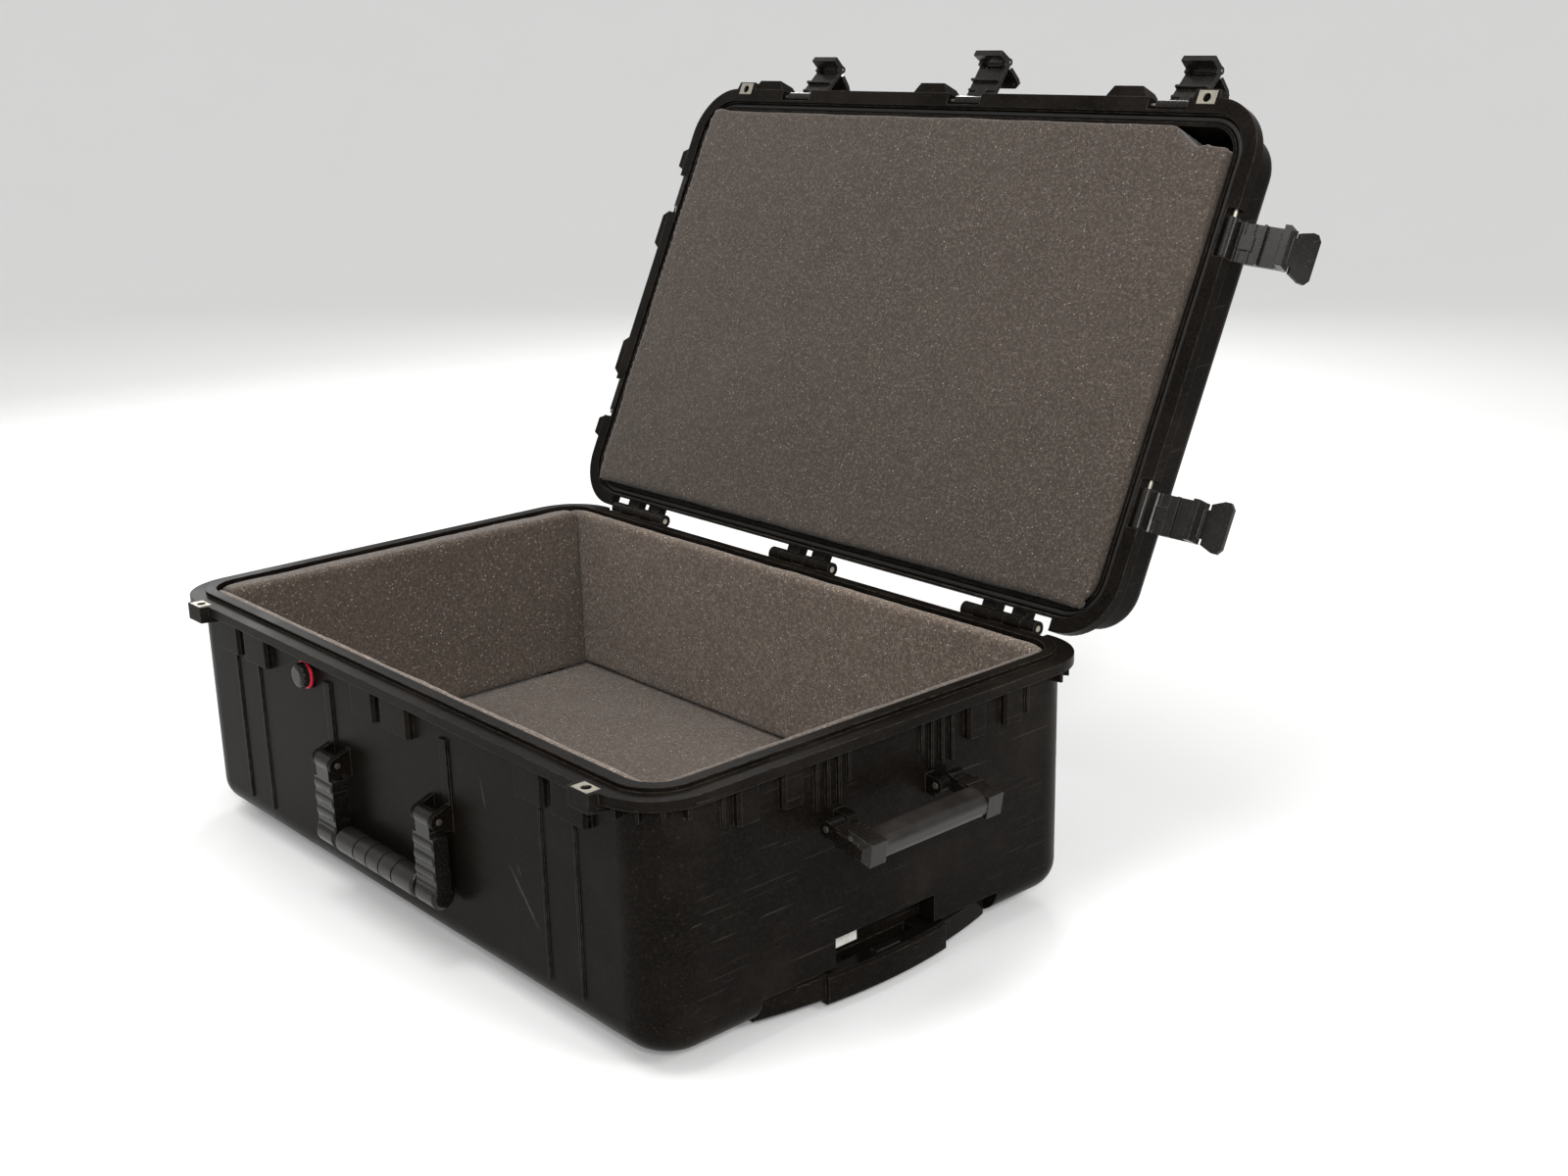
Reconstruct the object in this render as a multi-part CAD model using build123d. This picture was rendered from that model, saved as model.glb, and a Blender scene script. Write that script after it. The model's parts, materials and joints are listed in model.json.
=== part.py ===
from build123d import *

import os
from math import cos, radians, sin

# Wheeled hard equipment case, modelled with its lid open. Millimetres.
# X runs along the long side, with the pull handle at +X and the wheels at -X.
# Y runs from the front, at -Y, to the hinges, at +Y. Z is up, from the ground that the skids rest on.

# Driving dimensions
opening_x, opening_y = 365.0, 226.0  # half sizes of the opening inside the rim
opening_radius = 30.0  # vertical corner radius of the opening
rim_out, wall_out, flange_out = 10.5, 12.0, 26.0  # how far each stands outside the opening
underside_z, floor_z = 13.0, 21.0  # underside of the body, and the plastic floor inside it
flange_z, ledge_z, rim_z = 227.0, 236.0, 240.0  # flange underside, flange top and rim top
bottom_radius = 26.0  # rounding of the body's bottom edge
lid_low_z, lid_flange_z, lid_top_z = 236.6, 250.0, 298.0
lid_skin, lid_rib = 5.0, 8.0  # top panel's thickness and the height of its stacking ribs
hinge_y, hinge_z = 253.0, 238.0  # axis of the lid's hinges
lid_angle = 115.5  # how far the lid stands open at rest
flange_y, flange_x = opening_y + flange_out, opening_x + flange_out
wall_x, wall_y = opening_x + wall_out, opening_y + wall_out

# Hinges: three blocks, each with three knuckles on the base and two on the lid
hinge_centres = (-273.0, 0.0, 273.0)
hinge_width, hinge_radius, hinge_pin_radius = 90.0, 7.0, 3.0
base_knuckle, lid_knuckle, knuckle_gap = 16.0, 18.0, 1.5
back_recess_x, back_recess_y = 330.0, 240.0  # the flange steps in here to clear the hinges

# Latch stations: centres along the front and along both ends
front_stations = (-256.0, 0.0, 256.0)
end_stations = (-125.5, 125.5)
latch_offset = 27.0  # a front latch sits this far right of its station's centre
pin_in, pin_z = 6.0, 243.0  # latch pin: inside the flange's edge, and its height
latch_half, latch_pin_radius = 18.3, 1.75
catch_z = 194.0  # underside of the catch blocks
catch_face = 7.0  # catch blocks stand this far out from the wall
padlock_x, padlock_radius, padlock_reach = 321.0, 4.3, 8.0

# Handles
front_pivot_x, front_pivot_y, front_pivot_z, front_reach = 86.0, -251.5, 138.0, 70.0
end_pivot_y, end_pivot_x, end_pivot_z, end_reach = 64.0, 388.5, 168.0, 38.0
handle_pin_radius = 2.75
handle_clear = 8.0  # the handles' arms widen this far past their ears
front_bar, end_bar = 7.5, 6.0  # radii of the bars inside the grips
right_handle_angle = 80.0  # the right-hand handle stands out like this at rest

# Pull handle and wheels
tube_y, tube_wide, tube_wall = 58.0, 24.0, 1.6
housing_half, housing_end, housing_top = 80.0, -95.0, 33.0
grip_half, grip_front, grip_sag, grip_back = 133.0, 381.0, 18.0, 349.0
recess_x, recess_half, recess_top = 358.0, 57.0, 62.0  # hand recess above the grip
middle_half, middle_step = 68.0, 4.0  # the grip's middle stands this much prouder
grip_low, grip_top = 10.0, 34.0
finger_x0, finger_x1, finger_half = 355.0, 368.0, 42.0  # the grip's finger slot
button_x, button_x0, button_x1, button_half = 375.5, 371.0, 380.0, 14.0
tube_end = 361.0  # the inner tubes end inside the grip
wheel_x, wheel_y, wheel_z, wheel_radius, wheel_width = -354.5, 170.0, 24.0, 22.0, 22.0
well_gap, well_wall, axle_radius = 2.5, 3.0, 3.0

# Foam lining
floor_foam_z, foam_top_z, foam_gap = 53.0, 231.0, 0.3
side_foam, left_foam, right_foam = 13.0, 27.0, 15.0
skids = ((-250.0, -208.0), (-12.0, 54.0), (250.0, 290.0))  # x from and to
skid_half = 213.0

lid_axis = Axis((0, hinge_y, hinge_z), (-1, 0, 0))


def block(x0, x1, y0, y1, z0, z1):
    """A box between two corners."""
    centre = Pos((x0 + x1) / 2, (y0 + y1) / 2, (z0 + z1) / 2)
    return centre * Box(abs(x1 - x0), abs(y1 - y0), abs(z1 - z0))


def slab(out, z0, z1):
    """The rounded rectangle that stands `out` outside the opening."""
    sketch = RectangleRounded(2 * (opening_x + out), 2 * (opening_y + out), opening_radius + out)
    return Pos(0, 0, z0) * extrude(sketch, z1 - z0)


def rod(start, end, radius):
    """A round bar between two points."""
    start, end = Vector(*start), Vector(*end)
    plane = Plane(origin=start, z_dir=end - start)
    return plane * Cylinder(radius, (end - start).length, align=(Align.CENTER, Align.CENTER, Align.MIN))


def profile_x(points, x0, x1):
    """A prism along X from (y, z) points."""
    face = make_face(Polyline(*[(x0, y, z) for y, z in points], close=True))
    return extrude(face, x1 - x0, dir=(1, 0, 0))


def plan_z(points, z0, z1):
    """A prism along Z from (x, y) points."""
    face = make_face(Polyline(*[(x, y, z0) for x, y in points], close=True))
    return extrude(face, z1 - z0, dir=(0, 0, 1))


def merged(parts):
    """All the shapes as one."""
    parts = list(parts)
    return parts[0].fuse(*parts[1:]).clean() if len(parts) > 1 else parts[0]


def both_ends(make):
    """A feature made for the +X end, and its mirror image on the -X end."""
    shape = make()
    return [shape, mirror(shape, Plane.YZ)]


def opened(shape):
    """Swings a shape from the closed lid's place to the open lid's."""
    return shape.rotate(lid_axis, lid_angle)


def at_station(shape, side, along):
    """Carries a shape drawn at a front latch pin to a station on the front, right or left."""
    if side == "front":
        return Pos(along, -(flange_y - pin_in), pin_z) * shape
    if side == "right":
        return Pos(flange_x - pin_in, along, pin_z) * Rot(0, 0, 90) * shape
    return Pos(-(flange_x - pin_in), along, pin_z) * Rot(0, 0, -90) * shape


# Every latch: side, place along it, how far the body and the lever stand open at rest
latches = {
    "front_left": ("front", front_stations[0] + latch_offset, 112, 120),
    "front_centre": ("front", front_stations[1] + latch_offset, 100, 120),
    "front_right": ("front", front_stations[2] + latch_offset, 110, 120),
    "right_front": ("right", end_stations[0], 104, 50),
    "right_rear": ("right", end_stations[1], 94, 0),
    "left_front": ("left", end_stations[0], 130, 120),
    "left_rear": ("left", end_stations[1], 130, 120),
}
latch_pivot_y, latch_pivot_z = -10.5, -53.0  # lever pin, from the latch's own pin
lever_half, lever_gap = 13.0, 0.3  # the lever's knuckle, and its play in the body's slot
swing = Axis((0, 0, 0), (-1, 0, 0))
lever_swing = Axis((0, latch_pivot_y, latch_pivot_z), (-1, 0, 0))
notch_low, notch_high = -26.0, 19.0  # the slot in the lid's flange, wider on one side


def knuckles(centre, lid):
    """Spans along X of one hinge's knuckles, for the base or the lid."""
    step = base_knuckle + lid_knuckle + 2 * knuckle_gap
    if lid:
        first = centre - hinge_width / 2 + base_knuckle + knuckle_gap
        return [(first + i * step, first + i * step + lid_knuckle) for i in range(2)]
    first = centre - hinge_width / 2
    return [(first + i * step, first + i * step + base_knuckle) for i in range(3)]


def hinge_knuckle(points, x0, x1):
    """An arm of the given outline, with a round knuckle on the hinge's axis."""
    barrel = rod((x0, hinge_y, hinge_z), (x1, hinge_y, hinge_z), hinge_radius)
    return profile_x(points, x0, x1) + barrel


def back_recess(z0, z1):
    """What is cut off the back of a flange to clear the hinges."""
    return block(-back_recess_x, back_recess_x, back_recess_y, flange_y + 5, z0, z1)


def corner_ribs():
    """Short ribs under the flange, round each of the four corners."""
    ribs = []
    centre_x, centre_y = opening_x - opening_radius, opening_y - opening_radius
    inner, outer = opening_radius + wall_out - 4, opening_radius + flange_out - 4
    for sx in (-1, 1):
        for sy in (-1, 1):
            for angle in (12, 34, 56, 78):
                rib = block(inner, outer, -1.5, 1.5, flange_z - 11, flange_z + 2)
                turn = angle if sx * sy > 0 else -angle
                turn = turn if sx > 0 else 180 + turn
                ribs.append(Pos(sx * centre_x, sy * centre_y, 0) * Rot(0, 0, turn) * rib)
    return ribs


def catch_block(half):
    """A catch block at a front station: its underside holds the latch's hook."""
    low, face = catch_z - pin_z, flange_out - wall_out - pin_in
    shape = block(-half, half, face - catch_face, face + 3, low, flange_z - pin_z + 1)
    return chamfer(shape.edges().filter_by(Axis.Z).group_by(Axis.Y)[0], 2.5)


def base_wall_features():
    """Ribs, bands, catch blocks and lugs that stand out from the base's walls."""
    parts = []
    for x in front_stations:
        parts.append(at_station(catch_block(23.0), "front", x + latch_offset))
        parts.append(at_station(catch_block(20.0), "front", x - latch_offset))
    for y in end_stations:
        for offset in (-22.5, 22.5):
            parts.append(at_station(catch_block(11.0), "right", y + offset))
            parts.append(at_station(catch_block(11.0), "left", y + offset))
    for x in (-282.0, -236.0, 236.0, 282.0):
        parts.append(block(x - 1.6, x + 1.6, -wall_y - 1.8, -wall_y + 2, 40, catch_z))
        parts.append(block(x - 1.6, x + 1.6, wall_y - 2, wall_y + 1.8, 40, flange_z))
    for x in (-98.0, 98.0):
        parts.append(block(x - 5, x + 5, -wall_y - 2.4, -wall_y + 2, 150, 208))
    for x in hinge_centres:
        for offset in (-37.0, 0.0, 37.0):
            rib = [(wall_y - 2, 150), (wall_y + 2, 150), (wall_y + 8, 205), (wall_y + 8, flange_z)]
            parts.append(profile_x(rib + [(wall_y - 2, flange_z)], x + offset - 2, x + offset + 2))
    for y in (-end_pivot_y, end_pivot_y):
        for offset in (-12.0, 0.0, 12.0):
            rib = lambda: block(wall_x - 2, wall_x + 3, y + offset - 1.5, y + offset + 1.5, 180, flange_z)
            parts.extend(both_ends(rib))
    for y in (-170.0, -41.0, 41.0, 170.0):
        rib = lambda: block(wall_x - 2, wall_x + 2.5, y - 1.5, y + 1.5, 196, flange_z)
        parts.extend(both_ends(rib))
    return parts


def handle_lugs():
    """Lugs on the walls that hold the pins of the three handles."""
    parts = []
    for x in (-front_pivot_x, front_pivot_x):
        for offset in (-14.2, 14.2):
            arm = [(-wall_y + 2, front_pivot_z - 14), (front_pivot_y, front_pivot_z - 8)]
            arm += [(front_pivot_y, front_pivot_z + 8), (-wall_y + 2, front_pivot_z + 14)]
            x0, x1 = x + offset - 2.8, x + offset + 2.8
            ear = rod((x0, front_pivot_y, front_pivot_z), (x1, front_pivot_y, front_pivot_z), 8)
            parts += [profile_x(arm, x0, x1), ear]
    for side in (-1, 1):
        for y in (-end_pivot_y + 12.2, end_pivot_y - 12.2):
            y0, y1 = y - 5.5, y + 5.5
            ear = rod((side * end_pivot_x, y0, end_pivot_z), (side * end_pivot_x, y1, end_pivot_z), 7)
            inner, outer = sorted((side * (wall_x - 2), side * end_pivot_x))
            parts += [ear, block(inner, outer, y0, y1, end_pivot_z - 10, end_pivot_z + 7)]
    return parts


def handle_pin_places():
    """Start and end of each handle pin."""
    places = []
    for x in (-front_pivot_x, front_pivot_x):
        places.append(((x - 17.5, front_pivot_y, front_pivot_z), (x + 17.5, front_pivot_y, front_pivot_z)))
    for side in (-1, 1):
        for y in (-end_pivot_y, end_pivot_y):
            inner, outer = y - 18.5 * (1 if y > 0 else -1), y + 12.5 * (1 if y > 0 else -1)
            x = side * end_pivot_x
            places.append(((x, inner, end_pivot_z), (x, outer, end_pivot_z)))
    return places


def padlock_boss(z0, z1):
    """Both padlock bosses of one half of the case, with their holes."""
    parts = []
    for side in (-1, 1):
        centre = side * padlock_x
        low, high = -flange_y - padlock_reach, -wall_y
        points = [(centre - 19, high), (centre - 13, low), (centre + 13, low), (centre + 19, high)]
        parts.append(plan_z(points, z0, z1))
    return parts


def padlock_holes():
    """The shackle holes through the bosses."""
    places = (-padlock_x, padlock_x)
    return [rod((x, -flange_y, flange_z - 27), (x, -flange_y, rim_z + 30), padlock_radius) for x in places]


def grip_outline(out, low, top):
    """The pull handle's bow, grown by `out`: straight at the back and arched towards +X."""
    radius = (grip_half**2 + grip_sag**2) / (2 * grip_sag)
    disc = Pos(grip_front - radius, 0, low) * extrude(Circle(radius + out), top - low)
    return disc & block(grip_back, grip_front + 20, -grip_half, grip_half, low, top)


def wells(radius, half):
    """A drum round each wheel."""
    return [
        rod((wheel_x, y - half, wheel_z), (wheel_x, y + half, wheel_z), radius)
        for y in (-wheel_y, wheel_y)
    ]


screw_places = [(x, y) for x in (-70.0, 110.0, 300.0) for y in (-25.0, 25.0)]
screw_radius = 2.0
valve_x, valve_z, valve_bore = -134.0, 207.0, 7.0


def make_base_shell():
    outer = slab(wall_out, underside_z, flange_z + 2)
    outer = fillet(outer.edges().group_by(Axis.Z)[0], bottom_radius)
    flange = slab(flange_out, flange_z, ledge_z) - back_recess(flange_z - 1, ledge_z + 1)
    parts = [outer, flange, slab(rim_out, flange_z, rim_z)]
    for x0, x1 in skids:
        skid = block(x0, x1, -skid_half, skid_half, 0, underside_z + 4)
        parts.append(chamfer(skid.edges().group_by(Axis.Z)[0], 3))
    arm = [(wall_y - 2, 218), (hinge_y, hinge_z - hinge_radius), (hinge_y, hinge_z)]
    arm += [(hinge_y - hinge_radius, hinge_z), (hinge_y - hinge_radius, ledge_z), (wall_y - 2, ledge_z)]
    for centre in hinge_centres:
        parts += [hinge_knuckle(arm, x0, x1) for x0, x1 in knuckles(centre, lid=False)]
    parts += corner_ribs() + base_wall_features() + handle_lugs()
    parts += padlock_boss(flange_z - 7, ledge_z)
    shell = merged(parts)

    inner = slab(0, floor_z, rim_z + 1)
    inner = fillet(inner.edges().group_by(Axis.Z)[0], 16)
    shell -= inner
    wall_end = opening_x + 1
    humps = [
        block(housing_end - 6, wall_end, -housing_half - 6, housing_half + 6, floor_z - 1, housing_top + 6),
        block(grip_back - 8, wall_end, -grip_half - 9, grip_half + 9, floor_z - 1, grip_top + 9),
        block(recess_x - 4.5, wall_end, -recess_half - 5, recess_half + 5, floor_z - 1, recess_top + 5),
    ]
    humps += [drum & outer for drum in wells(wheel_radius + well_gap + well_wall, wheel_width / 2 + 8)]
    shell = merged([shell] + humps)

    shell -= block(housing_end, wall_x + 1, -housing_half, housing_half, underside_z - 1, housing_top)
    mouth = grip_half + 3
    shell -= block(grip_back - 3, wall_x + 5, -mouth, mouth, underside_z - 1, grip_top + 3)
    shell -= block(recess_x, wall_x + 2, -recess_half, recess_half, grip_top, recess_top)
    for drum in wells(wheel_radius + well_gap, wheel_width / 2 + 2):
        shell -= drum
    bosses = [rod((x, y, underside_z + 3), (x, y, housing_top + 1), 5) for x, y in screw_places]
    shell = merged([shell] + bosses)
    holes = [rod((x, y, underside_z), (x, y, 30), screw_radius) for x, y in screw_places]
    holes += wells(axle_radius, wheel_width / 2 + 7.5)
    holes += [rod(start, end, handle_pin_radius) for start, end in handle_pin_places()]
    for centre in hinge_centres:
        half = hinge_width / 2
        ends = ((centre - half, hinge_y, hinge_z), (centre + half, hinge_y, hinge_z))
        holes.append(rod(*ends, hinge_pin_radius))
    holes.append(rod((valve_x, -wall_y - 5, valve_z), (valve_x, -opening_y + 5, valve_z), valve_bore))
    for hole in holes + padlock_holes():
        shell -= hole
    return shell


def latch_notch():
    """The slot in the lid's flange that a latch's barrel turns in, with the bores of its pin."""
    slot = block(notch_low, notch_high, -pin_in - 2, 6, -8, 8)
    bore = rod((notch_low - 6, 0, 0), (notch_high + 6, 0, 0), latch_pin_radius)
    return [slot, bore]


def guard(half, half_tip):
    """A guard boss beside a latch, drawn at a front latch pin's height."""
    out, wall = -pin_in - 11, 10
    points = [(-half, wall), (-half, -pin_in + 1), (-half_tip, out), (half_tip, out)]
    points += [(half, -pin_in + 1), (half, wall)]
    shape = plan_z(points, lid_low_z + 2 - pin_z, 20)
    return chamfer(shape.faces().sort_by(Axis.Z)[-1].edges().sort_by(Axis.Y)[0], 5)


def make_lid_shell():
    outer = slab(wall_out, lid_low_z, lid_top_z)
    outer = fillet(outer.edges().group_by(Axis.Z)[-1], 14)
    flange = slab(flange_out, lid_low_z, lid_flange_z) - back_recess(lid_low_z - 1, lid_flange_z + 1)
    flange = chamfer(flange.faces().sort_by(Axis.Z)[-1].edges(), 2)
    parts = [outer, flange]
    for x in front_stations:
        parts.append(at_station(guard(25, 17), "front", x - latch_offset - 2))
    for y in end_stations:
        sign = 1 if y > 0 else -1
        parts.append(at_station(guard(25, 17), "left", sign * 78))
        parts.append(at_station(guard(14, 9), "left", sign * 165))
    for x0, x1 in skids:
        rib = block(x0 - 4, x1 + 4, -skid_half + 10, skid_half - 10, lid_top_z - 2, lid_top_z + lid_rib)
        parts.append(chamfer(rib.edges().group_by(Axis.Z)[-1], 3))
    arm = [(wall_y - 4, lid_low_z + 1.9), (hinge_y, lid_low_z + 1.9), (hinge_y, hinge_z + hinge_radius)]
    arm += [(hinge_y - 6, lid_flange_z), (wall_y - 4, lid_flange_z)]
    for centre in hinge_centres:
        parts += [hinge_knuckle(arm, x0, x1) for x0, x1 in knuckles(centre, lid=True)]
    parts += padlock_boss(lid_low_z, lid_flange_z)
    shell = merged(parts)

    inner = slab(0, lid_low_z - 1, lid_top_z - lid_skin)
    shell -= fillet(inner.edges().group_by(Axis.Z)[-1], 12)
    shell -= slab(rim_out + 1, lid_low_z - 1, rim_z + 0.8)
    shell -= slab(rim_out, rim_z, rim_z + 7) - slab(3.5, rim_z, rim_z + 7)
    for side, along, _, _ in latches.values():
        for cut in latch_notch():
            shell -= at_station(cut, side, along)
    for centre in hinge_centres:
        for x0, x1 in knuckles(centre, lid=True):
            shell -= rod((x0 - 1, hinge_y, hinge_z), (x1 + 1, hinge_y, hinge_z), hinge_pin_radius + 0.06)
    for hole in padlock_holes():
        shell -= hole
    return shell


def make_lid_gasket():
    ring = slab(9.6, rim_z + 0.5, rim_z + 6.8) - slab(4.4, rim_z + 0.5, rim_z + 6.8)
    return fillet(ring.faces().sort_by(Axis.Z)[0].edges(), 2.4)


def make_lid_foam():
    foam = slab(-foam_gap, foam_top_z + 0.5, lid_top_z - lid_skin - foam_gap)
    foam = fillet(foam.edges().group_by(Axis.Z)[-1], 12)
    torn = [(290, -opening_y - 5), (opening_x + 5, -opening_y - 5), (opening_x + 5, -opening_y + 20)]
    return foam - plan_z(torn + [(325, -opening_y + 20)], foam_top_z, lid_top_z)


def latch_body():
    plate = [(5, 0), (-2, 13), (-48, 13), (-48, 8.5), (-8, 8.5), (-5.8, 7), (-5, 0)]
    body = profile_x([(-out, z) for z, out in plate], -latch_half, latch_half)
    body += rod((-latch_half, 0, 0), (latch_half, 0, 0), 5)
    inner_face = -8.5
    for z in (-9.5, -18.5):
        body += block(-latch_half, latch_half, inner_face - 1, inner_face + 1.5, z - 1.3, z + 1.3)
    body += block(-6.5, 6.5, inner_face - 1, inner_face + 1.9, -21, -8)
    body += block(-latch_half, latch_half, inner_face - 1, inner_face + 4, -30.2, -27.8)
    pivot = (latch_pivot_y, latch_pivot_z)
    slot = lever_half + lever_gap
    for x0, x1 in ((-latch_half, -slot), (slot, latch_half)):
        body += rod((x0, *pivot), (x1, *pivot), 3.8)
        body += block(x0, x1, -13, -5, -56, -46)
    body += block(-latch_half, latch_half, -5.7, 6, -56, -50)
    body -= block(-slot, slot, -14, -6, -62, -44)
    body -= rod((-latch_half - 1, 0, 0), (latch_half + 1, 0, 0), latch_pin_radius + 0.05)
    return body - rod((-latch_half - 1, *pivot), (latch_half + 1, *pivot), 1.25)


def latch_lever():
    pivot = (latch_pivot_y, latch_pivot_z)
    lever = rod((-lever_half, *pivot), (lever_half, *pivot), 3.8)
    lever += block(-lever_half, lever_half, -13.5, -9.5, -62, -53)
    root, end, half = latch_pivot_z - 6.5, latch_pivot_z - 28, 23.0
    outline = [(-latch_half, root), (latch_half, root), (half, root - 12), (half, end + 4), (half - 5, end)]
    outline += [(-half + 5, end), (-half, end + 4), (-half, root - 12)]
    tab = extrude(make_face(Polyline(*[(x, -9.5, z) for x, z in outline], close=True)), 4, dir=(0, -1, 0))
    lever += tab
    lever += block(-half + 4, half - 4, -15.5, -13, end + 3, end + 6)
    return lever - rod((-lever_half - 1, *pivot), (lever_half + 1, *pivot), 1.3)


def latch_nodes(name):
    """One latch at rest: its body, its lever and the lever's pin."""
    side, along, body_angle, lever_angle = latches[name]
    pivot = (latch_pivot_y, latch_pivot_z)
    pin = rod((-latch_half, *pivot), (latch_half, *pivot), 1.25)
    pieces = {"body": latch_body(), "lever": latch_lever().rotate(lever_swing, lever_angle), "lever_pin": pin}
    for piece, shape in pieces.items():
        placed = at_station(shape.rotate(swing, body_angle), side, along)
        yield f"{name}_latch_{piece}", opened(placed)


def make_latch_pins():
    pin = rod((notch_low - 5.5, 0, 0), (notch_high + 5.5, 0, 0), latch_pin_radius)
    return [at_station(pin, side, along) for side, along, _, _ in latches.values()]


def padlock_plate(z0, z1):
    """A steel plate let into the face of each padlock boss."""
    front = -flange_y - padlock_reach
    return [block(s * padlock_x - 10, s * padlock_x + 10, front + 1, front + 14, z0, z1) for s in (-1, 1)]


def handle_arm(ear_wide, arm_wide, thick, reach, ridges):
    """One arm of a handle, hanging from a pivot along X: narrow between the lugs, then a row of ridges."""
    ear, arm = ear_wide / 2, arm_wide / 2
    wide_from = handle_clear + thick / 2
    parts = [rod((-ear, 0, 0), (ear, 0, 0), thick / 2 + 1), block(-ear, ear, -thick / 2, thick / 2, -reach, 0)]
    parts.append(block(-arm, arm, -thick / 2, thick / 2, -reach, -wide_from))
    step = (reach - wide_from) / ridges
    for i in range(ridges):
        z = -wide_from - step * (i + 0.5)
        ridge = rod((-arm, 0, z), (arm, 0, z), thick / 2 + 1.5)
        parts.append(chamfer(ridge.edges().filter_by(GeomType.CIRCLE), 1.2))
    return merged(parts)


def grip_sleeve(half, bar, radius, grooves):
    """A rubber sleeve on a handle's bar, with groove rings."""
    sleeve = rod((-half, 0, 0), (half, 0, 0), radius)
    sleeve = fillet(sleeve.edges().filter_by(GeomType.CIRCLE), 3)
    for x in grooves:
        ring = rod((x - 1, 0, 0), (x + 1, 0, 0), radius + 1) - rod((x - 2, 0, 0), (x + 2, 0, 0), radius - 1.6)
        sleeve -= ring
    return sleeve - rod((-half - 1, 0, 0), (half + 1, 0, 0), bar)


handle_bore = handle_pin_radius + 0.06


def front_handle():
    """The front handle's frame and its rubber sleeve, hanging."""
    parts = []
    for x in (-front_pivot_x, front_pivot_x):
        parts.append(Pos(x, 0, 0) * handle_arm(22.0, 32.0, 14.0, front_reach, 4))
        heel = rod((x - 16, 0, -front_reach), (x + 16, 0, -front_reach), 11.5)
        parts.append(chamfer(heel.edges().filter_by(GeomType.CIRCLE), 3))
    ends = ((-front_pivot_x, 0, -front_reach), (front_pivot_x, 0, -front_reach))
    frame = merged(parts + [rod(*ends, front_bar)])
    for x in (-front_pivot_x, front_pivot_x):
        frame -= rod((x - 14, 0, 0), (x + 14, 0, 0), handle_bore)
    sleeve = Pos(0, 0, -front_reach) * grip_sleeve(66.0, front_bar, 12.0, (-33.0, -11.0, 11.0, 33.0))
    place = Pos(0, front_pivot_y, front_pivot_z)
    return place * frame, place * sleeve


def end_handle(side):
    """An end handle, drawn hanging on the front and turned to its end: a deep flat bar between two blocks."""
    centre, half = end_pivot_y + 4, 11.0
    low, high = -end_reach - 11, -end_reach + 16
    parts = [rod((-centre, 0, -end_reach), (centre, 0, -end_reach), end_bar)]
    for x in (-centre, centre):
        parts.append(Pos(x, 0, 0) * handle_arm(16.0, 2 * half, 13.0, end_reach, 1))
        heel = block(x - half, x + half, -10, 10, low, high)
        outer = heel.faces().sort_by(Axis.X)[-1 if x > 0 else 0].edges()
        parts.append(chamfer(outer, 5))
    frame = merged(parts)
    for y in (-end_pivot_y, end_pivot_y):
        frame -= rod((y - 14, 0, 0), (y + 14, 0, 0), handle_bore)
    inner = centre - half - 0.2
    sleeve = block(-inner, inner, -9.5, 9.5, low + 0.5, high - 0.5)
    sleeve = fillet(sleeve.edges().filter_by(Axis.X), 7)
    sleeve -= rod((-inner - 1, 0, -end_reach), (inner + 1, 0, -end_reach), end_bar)
    angle = right_handle_angle if side == "right" else 0
    turn, x = (90, end_pivot_x) if side == "right" else (-90, -end_pivot_x)
    place = Pos(x, 0, end_pivot_z) * Rot(0, 0, turn)
    return [place * shape.rotate(swing, angle) for shape in (frame, sleeve)]


def tube(y, x0, x1, grow, wall):
    """A rectangular tube along X, `grow` smaller all round than the outer tube."""
    half, low, high = tube_wide / 2 - grow, underside_z + 3 + grow, housing_top - grow
    outside = block(x0, x1, y - half, y + half, low, high)
    return outside - block(x0 - 1, x1 + 1, y - half + wall, y + half - wall, low + wall, high - wall)


def tube_pair(x0, x1, grow, wall):
    """Both tubes of the pull handle, of one size."""
    return [tube(y, x0, x1, grow, wall) for y in (-tube_y, tube_y)]


def make_pull_grip():
    grip = grip_outline(0, grip_low, grip_top)
    middle = grip_outline(middle_step, grip_low - 3, grip_top)
    middle &= block(340, 400, -middle_half, middle_half, 0, 40)
    grip = merged(chamfer(bow.edges().filter_by(GeomType.CIRCLE), 2.5) for bow in (grip, middle))
    grip -= block(finger_x0, finger_x1, -finger_half, finger_half, 0, 40)
    grow = tube_wall + 0.4
    for y in (-tube_y, tube_y):
        half, low, high = tube_wide / 2 - grow, underside_z + 3 + grow, housing_top - grow
        grip -= block(grip_back - 1, tube_end, y - half, y + half, low, high)
    grip -= block(button_x0, button_x1, -button_half, button_half, 28, grip_top + 1)
    return grip - rod((button_x, 0, 20), (button_x, 0, 30), 3.4)


def make_release_button():
    gap = 0.3
    x0, x1, half = button_x0 + gap, button_x1 - gap, button_half - gap
    top = block(x0, x1, -half, half, 30, grip_top + 2)
    return chamfer(top.edges().group_by(Axis.Z)[-1], 0.8)


def make_button_spring():
    """A sleeve standing for the coil spring under the release button."""
    return rod((button_x, 0, 20), (button_x, 0, 29.8), 3.0) - rod((button_x, 0, 19), (button_x, 0, 31), 2.0)


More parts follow.
